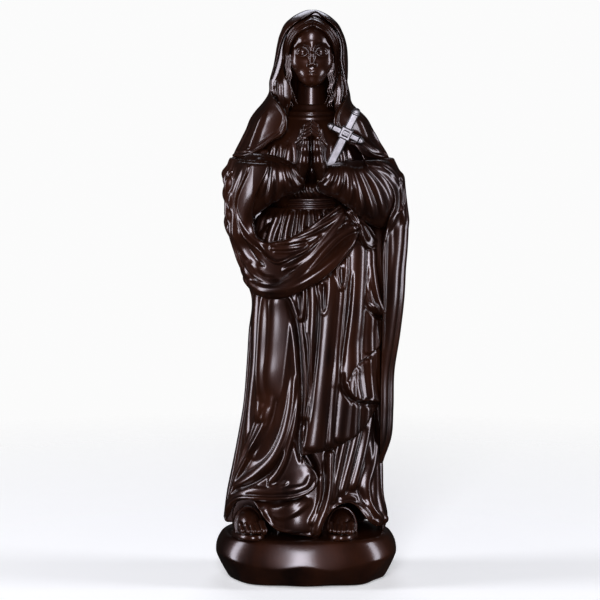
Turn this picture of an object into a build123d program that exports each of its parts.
"""Standing Madonna statue with joined hands and a pull-out sword, about 300 mm tall.

The figure is glued up from blocks along the lines of the dress, doweled at the waist,
neck and wrists, and screwed to its plinth from below. The figure faces -Y and +Z is up.
The origin is on the ground, under the middle of the statue's outline.
"""

import os
from math import cos, radians, sin

from build123d import *

os.makedirs("parts", exist_ok=True)

# ---- driving dimensions, millimetres ----
GLUE_GAP = 0.2  # space left between two glued blocks
FRONT_SPLIT = 6.0  # blocks in front of y = -FRONT_SPLIT are separate from the back ones
FAR = 80.0  # reaches past the statue in any direction

PLINTH_TOP = 24.0
PLINTH_FOOT = 0.4  # the felt stands this far below the wood
FELT_THICKNESS = 1.2
FELT_SIZE = (70.0, 54.0)
PLINTH_CENTRE_X = -2.5

SCREW_SPREAD = 32.0
SCREW_RADIUS = 1.7
SCREW_HEAD_RADIUS = 3.5
SCREW_HEAD_BOTTOM = FELT_THICKNESS + 0.1
SCREW_END = 42.0
SCREW_POINT = 4.0
BASE_DOWEL_RADIUS = 4.0
BASE_DOWEL_ENDS = (12.0, 38.0)
WAIST = 196.0
WAIST_DOWEL_RADIUS = 4.0
WAIST_DOWEL_ENDS = (184.0, 208.0)
NECK_DOWEL_RADIUS = 2.5
NECK_DOWEL_ENDS = (240.0, 262.0)
NECK_BASE = 250.0
WRIST_DOWEL_RADIUS = 1.2
WRIST_DOWEL_LENGTH = 12.0
WRIST_DOWEL_SHARE = 0.35  # the share of its length that lies in the sleeve
DOWEL_CLEARANCE = 0.03

VEIL_HEM = 219.4
MANTLE_TOP = 219.0
SASH_HEIGHTS = (197.4, 202.8)
SASH_HALF_WIDTH = 12.0
# Front outline of the swag's lower edge, and how far below it the overskirt starts.
SWAG_EDGE = [(-44, 198), (-41, 178), (-34, 157), (-17, 148.5), (4, 156), (20, 168), (34.5, 189)]
SWAG_TOP = [(28, 197), (17, 199), (0, 188), (-21, 180.5), (-29, 184), (-31, 198)]
SWAG_SHADOW = (-0.15, -0.6)
# Front outline of the overskirt: its zigzag edge on the left side, then its hem.
OVERSKIRT_SIDE = [(41, 165), (41, 140), (36, 126), (16, 112), (16, 106), (36.5, 93.5), (25, 80)]
OVERSKIRT_HEM = [(-4.5, 69.5), (3.5, 57.5), (-7, 47), (-24, 44.5), (-46, 43.5)]
# Front opening of the veil, from the right shoulder round the face to the left one.
VEIL_OPENING = [
    (-46, 218), (-28, 227), (-13, 234), (-11.5, 246), (-13.8, 262), (-12.5, 282), (0.5, 294),
    (13.5, 282), (14.8, 262), (12.5, 246), (14, 234), (28, 226), (46, 217),
]

# Sections of the dress: height, centre x, centre y, half width, half depth.
SKIRT = [
    (PLINTH_TOP, -3.0, 0.0, 38.0, 28.5),
    (50.0, -2.0, 0.0, 35.5, 27.5),
    (90.0, -0.5, 0.0, 32.5, 26.0),
    (130.0, 0.5, 0.0, 30.0, 24.5),
    (160.0, 0.5, 0.0, 27.0, 22.0),
    (182.0, 0.0, 0.0, 20.5, 17.0),
    (WAIST, 0.0, 0.0, 17.5, 14.5),
]
TORSO = [
    (WAIST + GLUE_GAP, 0.0, 0.0, 17.5, 14.5),
    (206.0, 0.0, 0.0, 22.0, 15.5),
    (218.0, 0.0, 0.0, 28.0, 16.0),
    (230.0, 0.0, 0.0, 29.0, 15.5),
    (240.0, 0.0, 0.5, 22.0, 13.5),
    (246.0, 0.2, 1.0, 13.0, 10.5),
    (NECK_BASE - GLUE_GAP, 0.4, 1.0, 9.5, 9.0),
]
MANTLE = [
    (30.0, -5.0, 2.0, 40.5, 29.0),
    (60.0, -1.5, 2.0, 38.5, 28.5),
    (90.0, 4.0, 2.0, 38.5, 28.5),
    (130.0, 7.5, 1.5, 39.0, 28.5),
    (165.0, 6.2, 1.0, 43.0, 28.5),
    (190.0, 3.2, 1.0, 46.5, 28.0),
    (208.0, 0.8, 1.0, 45.6, 26.5),
    (MANTLE_TOP, 0.3, 1.0, 43.0, 24.8),
]
OVERSKIRT = [
    (40.0, -3.0, 0.0, 40.0, 32.0),
    (70.0, -1.0, 0.0, 38.5, 31.5),
    (110.0, 1.0, 0.0, 37.0, 30.5),
    (150.0, 2.5, 0.0, 37.5, 29.0),
    (192.0, 3.0, 0.0, 39.0, 26.0),
]
WRAP = [
    (144.0, -1.5, 0.0, 34.0, 30.0),
    (156.0, -1.0, 0.0, 37.0, 32.0),
    (170.0, -0.5, 0.0, 38.5, 31.0),
    (186.0, -0.5, 0.0, 41.0, 26.5),
    (202.0, -0.5, 0.0, 42.5, 22.0),
]
SASH = [(WAIST, 0.0, 0.0, 20.0, 16.8), (206.0, 0.0, 0.0, 24.0, 17.6)]
VEIL = [
    (VEIL_HEM, 0.0, 1.0, 43.0, 24.5),
    (227.0, 0.0, 1.0, 39.0, 24.0),
    (238.0, -0.5, 1.0, 32.5, 22.0),
    (247.0, -0.5, 1.0, 26.0, 20.0),
    (257.0, -0.5, 1.0, 21.0, 19.0),
    (270.0, 0.0, 1.0, 19.8, 19.5),
    (282.0, 0.5, 1.0, 18.3, 18.8),
    (290.0, 0.5, 1.2, 15.2, 16.0),
    (296.0, 0.5, 1.5, 10.5, 11.5),
    (300.0, 0.5, 2.0, 3.5, 4.0),
]
HEAD = [
    (260.0, 0.5, -6.0, 4.5, 4.0),
    (266.0, 0.5, -4.5, 9.0, 9.0),
    (274.0, 0.5, -2.5, 12.0, 12.5),
    (283.0, 0.5, -1.5, 12.8, 14.0),
    (291.0, 0.5, -1.0, 10.0, 11.0),
    (295.0, 0.5, -0.5, 5.0, 6.0),
]
NECK_RADIUS = 8.0
NECK_CENTRE = (0.5, 1.0)
NECK_TOP = 268.0

# Arm: elbow and wrist of the left arm; the right arm mirrors it.
ELBOW = Vector(37.0, -15.0, 197.0)
WRIST = Vector(7.0, -27.0, 211.0)
# Sections of a sleeve and of a hand: share of the way along, half sizes.
SLEEVE = [(-0.2, 4.0, 5.0), (-0.1, 10.0, 11.5), (0.08, 13.0, 14.5), (0.5, 11.5, 13.0), (1.0, 7.0, 7.5)]
HAND_ROOT = Vector(4.4, -28.5, 214.0)
HAND_TIP = Vector(3.6, -33.0, 244.0)
HAND = [(0.0, 3.6, 4.6), (0.35, 4.2, 6.0), (0.75, 4.4, 6.6), (1.0, 2.4, 4.2)]
HAND_GAP = 0.1
FOOT_CENTRES = {"right": -31.0, "left": 15.0}
FOOT_SECTIONS = [  # height, centre y, half width, half length
    (PLINTH_TOP, -20.0, 7.5, 12.0),
    (PLINTH_TOP + 4.0, -20.0, 7.5, 12.0),
    (PLINTH_TOP + 8.0, -18.5, 6.5, 9.5),
    (PLINTH_TOP + 12.0, -17.0, 4.5, 5.5),
]

# Sword: the frame's origin is the middle of the guard, z runs to the pommel, x along the guard.
SWORD_TILT = radians(25.9)
SWORD_LEAN = radians(9.0)
SWORD = Plane(
    origin=(18.0, -22.6, 237.0),
    x_dir=(cos(SWORD_TILT), 0, -sin(SWORD_TILT)),
    z_dir=(sin(SWORD_TILT) * cos(SWORD_LEAN), -sin(SWORD_LEAN), cos(SWORD_TILT) * cos(SWORD_LEAN)),
)
BLADE_SIZE = (4.2, 1.5)
BLADE_LENGTH = 29.0
BLADE_POINT = 4.0
BLADE_SLOT_GAP = 0.25
TANG_SIZE = (1.2, 1.0)
TANG_GAP = 0.05
GUARD_SIZE = (15.2, 2.4, 2.8)  # along the guard, through it, along the sword
BOSS_SIZE = (5.2, 3.6, 5.2)
BOSS_WALL = 1.2
BOSS_RECESS = 0.6
GRIP_SIZE = (3.8, 2.4)
GRIP_ENDS = (BOSS_SIZE[2] / 2 + 0.05, 11.2)
POMMEL_RADII = (2.5, 1.8, 0.8)
POMMEL_HEIGHTS = (11.25, 12.0, 13.9)
TANG_TOP = 12.4
FINIAL_RADII = (1.9, 1.4, 0.7)
FINIAL_HEIGHTS = (GUARD_SIZE[0] / 2 + 0.05, GUARD_SIZE[0] / 2 + 0.8, GUARD_SIZE[0] / 2 + 2.0)


def oval_form(sections, grow=0.0, mode=Mode.ADD):
    """Lofts upright ovals into the part being built, each larger by grow."""
    ovals = []
    for height, x, y, half_width, half_depth in sections:
        with BuildSketch(Plane(origin=(x, y, height))) as oval:
            Ellipse(half_width + grow, half_depth + grow)
        ovals.append(oval.sketch)
    return loft(ovals, mode=mode)


def tube_form(start, end, sections, grow=0.0, mode=Mode.ADD):
    """Lofts ovals from start to end, each on a plane square to that line."""
    along = (end - start).normalized()
    level = Vector(along.Y, -along.X, 0).normalized()
    ovals = []
    for share, half_width, half_depth in sections:
        centre = start + (end - start) * share
        with BuildSketch(Plane(origin=centre, x_dir=level, z_dir=along)) as oval:
            Ellipse(half_width + grow, half_depth + grow)
        ovals.append(oval.sketch)
    return loft(ovals, mode=mode)


def keep_front(setback=FRONT_SPLIT + GLUE_GAP):
    """Cuts away what lies behind y = -setback."""
    with BuildSketch(Plane.XZ.offset(setback)) as wall:
        with Locations((0, 150)):
            Rectangle(4 * FAR, 6 * FAR)
    extrude(wall.sketch, amount=-2 * FAR, mode=Mode.SUBTRACT)


def flipped(point, side):
    """The point on the figure's left (side 1) or right (side -1)."""
    return Vector(side * point.X, point.Y, point.Z)


def upright_bore(x, y, ends, radius):
    """Cuts an upright round hole between two heights."""
    with BuildSketch(Plane(origin=(x, y, ends[0]))) as hole:
        Circle(radius)
    extrude(hole.sketch, amount=ends[1] - ends[0], mode=Mode.SUBTRACT)


def upright_dowel(name, x, y, ends, radius):
    """A plain round dowel between two heights, with its ends eased."""
    with BuildPart() as dowel:
        with BuildSketch(Plane(origin=(x, y, ends[0]))):
            Circle(radius)
        extrude(amount=ends[1] - ends[0])
        chamfer(dowel.edges().filter_by(GeomType.CIRCLE), 0.4)
    return finished(dowel, name)


def finished(builder, name):
    """Labels a sub-part and writes its STEP file."""
    builder.part.label = name
    export_step(builder.part, f"parts/{name}.step")
    return builder.part


# ---- plinth, felt and what holds the figure down ----
screw_places = [(PLINTH_CENTRE_X + side * SCREW_SPREAD / 2, 0.0) for side in (-1, 1)]

with BuildPart() as plinth:
    for height, width, depth, corner in (
        (PLINTH_FOOT, 77.0, 62.0, 24.0),
        (8.0, 90.0, 73.0, 29.0),
        (14.0, 95.0, 78.0, 31.0),
        (20.0, 92.0, 75.0, 30.0),
        (PLINTH_TOP - GLUE_GAP, 85.0, 69.0, 27.0),
    ):
        with BuildSketch(Plane(origin=(PLINTH_CENTRE_X, 0, height))):
            RectangleRounded(width, depth, corner)
    loft(ruled=True)
    with BuildSketch(Plane(origin=(PLINTH_CENTRE_X, 0, PLINTH_FOOT))):
        Ellipse(FELT_SIZE[0] / 2 + 0.2, FELT_SIZE[1] / 2 + 0.2)
    extrude(amount=FELT_THICKNESS - PLINTH_FOOT, mode=Mode.SUBTRACT)
    with Locations(Plane(origin=(PLINTH_CENTRE_X, 0, FELT_THICKNESS), z_dir=(0, 0, -1))):
        with GridLocations(SCREW_SPREAD, 1, 2, 1):
            CounterSinkHole(
                radius=SCREW_RADIUS + DOWEL_CLEARANCE,
                counter_sink_radius=SCREW_HEAD_RADIUS + 0.2,
                depth=FAR,
                counter_sink_angle=90,
            )
    dowel_hole = (BASE_DOWEL_ENDS[0] - 0.2, PLINTH_TOP + 1)
    upright_bore(PLINTH_CENTRE_X, 0, dowel_hole, BASE_DOWEL_RADIUS + DOWEL_CLEARANCE)
finished(plinth, "plinth")

with BuildPart() as felt:
    with BuildSketch(Plane(origin=(PLINTH_CENTRE_X, 0, 0))):
        Ellipse(FELT_SIZE[0] / 2, FELT_SIZE[1] / 2)
    extrude(amount=FELT_THICKNESS - 0.05)
finished(felt, "felt_pad")

with BuildPart() as screws:
    for x, y in screw_places:
        with BuildSketch(Plane(origin=(x, y, SCREW_HEAD_BOTTOM))):
            Circle(SCREW_HEAD_RADIUS)
        with BuildSketch(Plane(origin=(x, y, SCREW_HEAD_BOTTOM + SCREW_HEAD_RADIUS - SCREW_RADIUS))):
            Circle(SCREW_RADIUS)
        loft()
        with BuildSketch(Plane(origin=(x, y, SCREW_HEAD_BOTTOM + 1))):
            Circle(SCREW_RADIUS)
        extrude(amount=SCREW_END - SCREW_POINT - SCREW_HEAD_BOTTOM - 1)
        with BuildSketch(Plane(origin=(x, y, SCREW_END - SCREW_POINT))):
            Circle(SCREW_RADIUS)
        with BuildSketch(Plane(origin=(x, y, SCREW_END))):
            Circle(0.3)
        loft()
        with BuildSketch(Plane(origin=(x, y, SCREW_HEAD_BOTTOM))):
            Rectangle(3.6, 0.8)
            Rectangle(0.8, 3.6)
        extrude(amount=0.9, mode=Mode.SUBTRACT)
finished(screws, "plinth_screws")
upright_dowel("plinth_dowel", PLINTH_CENTRE_X, 0, BASE_DOWEL_ENDS, BASE_DOWEL_RADIUS)

# ---- body blocks ----
with BuildPart() as skirt:
    oval_form(SKIRT)
    dowel_hole = (PLINTH_TOP - 1, BASE_DOWEL_ENDS[1] + 0.3)
    upright_bore(PLINTH_CENTRE_X, 0, dowel_hole, BASE_DOWEL_RADIUS + DOWEL_CLEARANCE)
    for x, y in screw_places:
        upright_bore(x, y, (PLINTH_TOP - 1, SCREW_END + 0.5), SCREW_RADIUS + DOWEL_CLEARANCE)
    upright_bore(0, 0, (WAIST_DOWEL_ENDS[0] - 0.3, WAIST + 1), WAIST_DOWEL_RADIUS + DOWEL_CLEARANCE)
finished(skirt, "skirt_block")
upright_dowel("waist_dowel", 0, 0, WAIST_DOWEL_ENDS, WAIST_DOWEL_RADIUS)

with BuildPart() as sword_slot:
    with BuildSketch(SWORD.offset(-BLADE_LENGTH - 0.6)):
        RectangleRounded(BLADE_SIZE[0] + 2 * BLADE_SLOT_GAP, BLADE_SIZE[1] + 2 * BLADE_SLOT_GAP, 0.3)
    extrude(amount=BLADE_LENGTH)

with BuildPart() as torso:
    oval_form(TORSO)
    upright_bore(0, 0, (WAIST - 1, WAIST_DOWEL_ENDS[1] + 0.3), WAIST_DOWEL_RADIUS + DOWEL_CLEARANCE)
    neck_hole = (NECK_DOWEL_ENDS[0] - 0.3, NECK_BASE + 1)
    upright_bore(*NECK_CENTRE, neck_hole, NECK_DOWEL_RADIUS + DOWEL_CLEARANCE)
    add(sword_slot.part, mode=Mode.SUBTRACT)
finished(torso, "torso_block")

with BuildPart() as mantle:
    oval_form(MANTLE)
    oval_form(SKIRT, GLUE_GAP, Mode.SUBTRACT)
    oval_form(TORSO, GLUE_GAP, Mode.SUBTRACT)
    with BuildSketch(Plane.XY.offset(WAIST - 1)):
        Ellipse(TORSO[0][3] + GLUE_GAP, TORSO[0][4] + GLUE_GAP)
    extrude(amount=2, mode=Mode.SUBTRACT)
    with BuildSketch(Plane.XZ.offset(FRONT_SPLIT)):
        with Locations((0, 150)):
            Rectangle(4 * FAR, 6 * FAR)
    extrude(amount=FAR, mode=Mode.SUBTRACT)
finished(mantle, "mantle_back")


def sleeve_form(side, grow=0.0, mode=Mode.ADD):
    """The draped sleeve of one arm, elbow to cuff."""
    return tube_form(flipped(ELBOW, side), flipped(WRIST, side), SLEEVE, grow, mode)


def hand_form(side, grow=0.0, mode=Mode.ADD):
    """One praying hand, wrist to knuckles."""
    return tube_form(flipped(HAND_ROOT, side), flipped(HAND_TIP, side), HAND, grow, mode)


# ---- the front of the mantle: a swag round the hips and the overskirt below it ----
with BuildPart() as wrap:
    with BuildSketch(Plane.XZ.offset(FRONT_SPLIT + GLUE_GAP)):
        with BuildLine():
            lower = Spline(*SWAG_EDGE)
            Polyline(lower @ 1, *SWAG_TOP, lower @ 0)
        make_face()
    extrude(amount=FAR)
    oval_form(WRAP, mode=Mode.INTERSECT)
    oval_form(SKIRT, GLUE_GAP, Mode.SUBTRACT)
    oval_form(TORSO, GLUE_GAP, Mode.SUBTRACT)
    for side in (-1, 1):
        sleeve_form(side, GLUE_GAP, Mode.SUBTRACT)
finished(wrap, "mantle_wrap")

with BuildPart() as overskirt:
    with BuildSketch(Plane.XZ.offset(FRONT_SPLIT + GLUE_GAP)):
        with BuildLine():
            top = Spline(*[(x + SWAG_SHADOW[0], z + SWAG_SHADOW[1]) for x, z in SWAG_EDGE])
            Polyline(top @ 1, *OVERSKIRT_SIDE, OVERSKIRT_HEM[0])
            hem = Spline(*OVERSKIRT_HEM)
            Line(hem @ 1, top @ 0)
        make_face()
    extrude(amount=FAR)
    oval_form(OVERSKIRT, mode=Mode.INTERSECT)
    oval_form(SKIRT, GLUE_GAP, Mode.SUBTRACT)
    for side in (-1, 1):
        sleeve_form(side, GLUE_GAP, Mode.SUBTRACT)
finished(overskirt, "overskirt")

with BuildPart() as sash:
    with BuildSketch(Plane.XZ.offset(FRONT_SPLIT + GLUE_GAP)):
        with Locations((0, sum(SASH_HEIGHTS) / 2)):
            Rectangle(2 * SASH_HALF_WIDTH, SASH_HEIGHTS[1] - SASH_HEIGHTS[0])
    extrude(amount=FAR)
    oval_form(SASH, mode=Mode.INTERSECT)
    oval_form(TORSO, GLUE_GAP, Mode.SUBTRACT)
    add(wrap.part, mode=Mode.SUBTRACT)
finished(sash, "waist_sash")

# ---- arms and hands ----
with BuildPart() as wrist_dowels:
    for side in (-1, 1):
        root, tip = flipped(HAND_ROOT, side), flipped(HAND_TIP, side)
        along = (tip - root).normalized()
        bottom = root - along * WRIST_DOWEL_LENGTH * WRIST_DOWEL_SHARE
        with BuildSketch(Plane(origin=bottom, z_dir=along)):
            Circle(WRIST_DOWEL_RADIUS)
        extrude(amount=WRIST_DOWEL_LENGTH)


def wrist_bore(side):
    """Cuts the hole for one wrist dowel."""
    root, tip = flipped(HAND_ROOT, side), flipped(HAND_TIP, side)
    along = (tip - root).normalized()
    bottom = root - along * (WRIST_DOWEL_LENGTH * WRIST_DOWEL_SHARE + 0.1)
    with BuildSketch(Plane(origin=bottom, z_dir=along)) as hole:
        Circle(WRIST_DOWEL_RADIUS + DOWEL_CLEARANCE)
    extrude(hole.sketch, amount=WRIST_DOWEL_LENGTH + 0.2, mode=Mode.SUBTRACT)


for side, name in ((-1, "right"), (1, "left")):
    with BuildPart() as sleeve:
        sleeve_form(side)
        keep_front()
        oval_form(TORSO, GLUE_GAP, Mode.SUBTRACT)
        hand_form(side, GLUE_GAP, Mode.SUBTRACT)
        with BuildSketch(Plane.YZ.offset(side * HAND_GAP)):
            Rectangle(12 * FAR, 12 * FAR)
        extrude(amount=-side * FAR, mode=Mode.SUBTRACT)
        add(sword_slot.part, mode=Mode.SUBTRACT)
        wrist_bore(side)
    finished(sleeve, f"{name}_sleeve")

    with BuildPart() as hand:
        hand_form(side)
        with BuildSketch(Plane.YZ.offset(side * HAND_GAP)):
            Rectangle(12 * FAR, 12 * FAR)
        extrude(amount=-side * FAR, mode=Mode.SUBTRACT)
        wrist_bore(side)
    finished(hand, f"{name}_hand")

    with BuildPart() as foot:
        for height, y, half_width, half_length in FOOT_SECTIONS:
            with BuildSketch(Plane(origin=(FOOT_CENTRES[name], y, height))):
                Ellipse(half_width, half_length)
        loft()
        oval_form(SKIRT, GLUE_GAP, Mode.SUBTRACT)
    finished(foot, f"{name}_foot")
finished(wrist_dowels, "wrist_dowels")

# ---- head and veil ----
with BuildPart() as head:
    oval_form(HEAD)
    with BuildSketch(Plane(origin=(*NECK_CENTRE, NECK_BASE))):
        Circle(NECK_RADIUS)
    extrude(amount=NECK_TOP - NECK_BASE)
    neck_hole = (NECK_BASE - 1, NECK_DOWEL_ENDS[1] + 0.3)
    upright_bore(*NECK_CENTRE, neck_hole, NECK_DOWEL_RADIUS + DOWEL_CLEARANCE)
finished(head, "head")
upright_dowel("neck_dowel", *NECK_CENTRE, NECK_DOWEL_ENDS, NECK_DOWEL_RADIUS)

with BuildPart() as veil:
    oval_form(VEIL)
    oval_form(TORSO, GLUE_GAP, Mode.SUBTRACT)
    oval_form(HEAD, GLUE_GAP, Mode.SUBTRACT)
    with BuildSketch(Plane(origin=(*NECK_CENTRE, NECK_BASE - 1))):
        Circle(NECK_RADIUS + GLUE_GAP)
    extrude(amount=NECK_TOP - NECK_BASE + 1, mode=Mode.SUBTRACT)
    with BuildSketch(Plane.XZ.offset(-2)):
        with BuildLine():
            opening = Spline(*VEIL_OPENING)
            Line(opening @ 1, opening @ 0)
        make_face()
    extrude(amount=FAR, mode=Mode.SUBTRACT)
finished(veil, "veil")

# ---- sword ----
with BuildPart() as blade:
    with BuildSketch(SWORD.offset(-BLADE_LENGTH + BLADE_POINT)):
        Rectangle(*BLADE_SIZE)
    extrude(amount=BLADE_LENGTH - BLADE_POINT - BOSS_SIZE[2] / 2 - 0.05)
    with BuildSketch(SWORD.offset(-BLADE_LENGTH)):
        Rectangle(0.6, 0.5)
    with BuildSketch(SWORD.offset(-BLADE_LENGTH + BLADE_POINT)):
        Rectangle(*BLADE_SIZE)
    loft()
    with BuildSketch(SWORD.offset(-BOSS_SIZE[2] / 2 - 0.1)):
        Rectangle(*TANG_SIZE)
    extrude(amount=TANG_TOP + BOSS_SIZE[2] / 2 + 0.1)
finished(blade, "sword_blade")


def tang_hole():
    """Cuts the long slot that the tang passes through."""
    with BuildSketch(SWORD.offset(-BOSS_SIZE[2])) as slot:
        Rectangle(TANG_SIZE[0] + 2 * TANG_GAP, TANG_SIZE[1] + 2 * TANG_GAP)
    extrude(slot.sketch, amount=BOSS_SIZE[2] + TANG_TOP + 0.1, mode=Mode.SUBTRACT)


with BuildPart() as boss:
    with BuildSketch(SWORD.offset(-BOSS_SIZE[2] / 2)):
        Rectangle(BOSS_SIZE[0], BOSS_SIZE[1])
    extrude(amount=BOSS_SIZE[2])
    fillet(boss.edges().filter_by(Axis(SWORD.origin, SWORD.y_dir)), 0.9)
    boss_front = SWORD.origin - SWORD.y_dir * BOSS_SIZE[1] / 2
    with BuildSketch(Plane(origin=boss_front, x_dir=SWORD.x_dir, z_dir=-SWORD.y_dir)):
        RectangleRounded(BOSS_SIZE[0] - 2 * BOSS_WALL, BOSS_SIZE[2] - 2 * BOSS_WALL, 0.4)
    extrude(amount=-BOSS_RECESS, mode=Mode.SUBTRACT)
    with BuildSketch(Plane(origin=SWORD.origin - SWORD.x_dir * FAR, x_dir=SWORD.y_dir, z_dir=SWORD.x_dir)):
        Rectangle(GUARD_SIZE[1] + 0.1, GUARD_SIZE[2] + 0.1)
    extrude(amount=2 * FAR, mode=Mode.SUBTRACT)
    tang_hole()
finished(boss, "guard_boss")

with BuildPart() as guard:
    guard_end = SWORD.origin - SWORD.x_dir * GUARD_SIZE[0] / 2
    with BuildSketch(Plane(origin=guard_end, x_dir=SWORD.y_dir, z_dir=SWORD.x_dir)):
        Rectangle(GUARD_SIZE[1], GUARD_SIZE[2])
    extrude(amount=GUARD_SIZE[0])
    tang_hole()
finished(guard, "sword_guard")

with BuildPart() as grip:
    with BuildSketch(SWORD.offset(GRIP_ENDS[0])):
        RectangleRounded(*GRIP_SIZE, 0.4)
    extrude(amount=GRIP_ENDS[1] - GRIP_ENDS[0])
    tang_hole()
finished(grip, "sword_grip")


def button(plane, radii, heights):
    """A stepped button: a flat disc below a blunt cone."""
    discs = []
    for height, radius in zip(heights, radii):
        with BuildSketch(plane.offset(height)) as disc:
            Circle(radius)
        discs.append(disc.sketch)
    extrude(discs[0], amount=heights[1] - heights[0])
    loft(discs[1:])


with BuildPart() as pommel:
    button(SWORD, POMMEL_RADII, POMMEL_HEIGHTS)
    tang_hole()
finished(pommel, "sword_pommel")

with BuildPart() as finials:
    for side in (-1, 1):
        end = Plane(origin=SWORD.origin, x_dir=SWORD.y_dir, z_dir=SWORD.x_dir * side)
        button(end, FINIAL_RADII, FINIAL_HEIGHTS)
finished(finials, "guard_finials")
